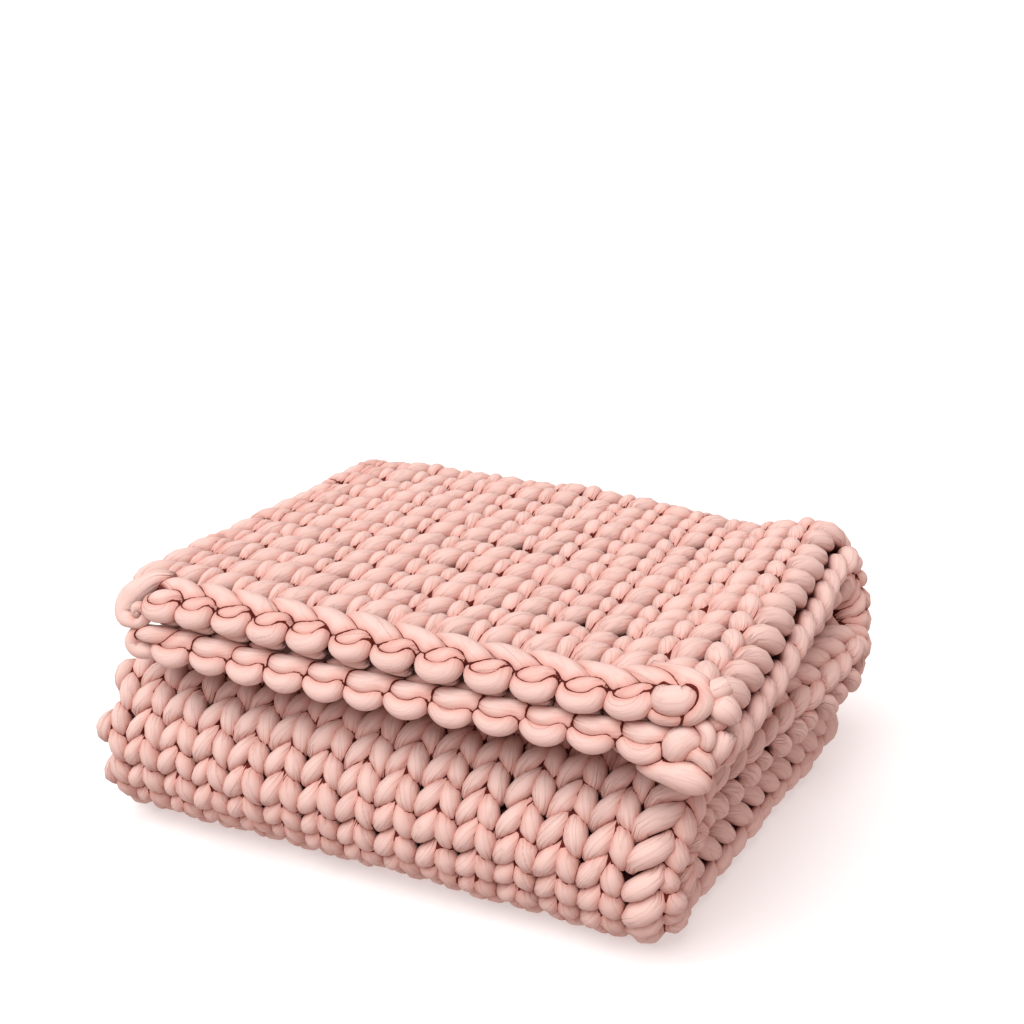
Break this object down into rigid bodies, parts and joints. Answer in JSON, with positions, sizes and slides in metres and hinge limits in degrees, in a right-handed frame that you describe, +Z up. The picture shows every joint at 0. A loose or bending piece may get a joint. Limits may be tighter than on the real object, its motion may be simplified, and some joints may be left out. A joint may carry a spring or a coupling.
{
  "type": "weighted blanket",
  "caption": "Chunky hand-knitted weighted blanket of stuffed jersey tube, folded into a low rectangular pile that lies flat.",
  "frame": {"origin": "centre of the underside, in the middle of the folded pile's own box", "axes": "+X towards the side where the blanket is folded in half, +Y away from the two bound edges on top, +Z up"},
  "size_m": [0.6832, 0.5552, 0.2949],
  "materials": {
    "jersey": "matt knitted cotton jersey"
  },
  "bodies": {
    "root": {"blanket": "jersey"}
  },
  "joints": []
}
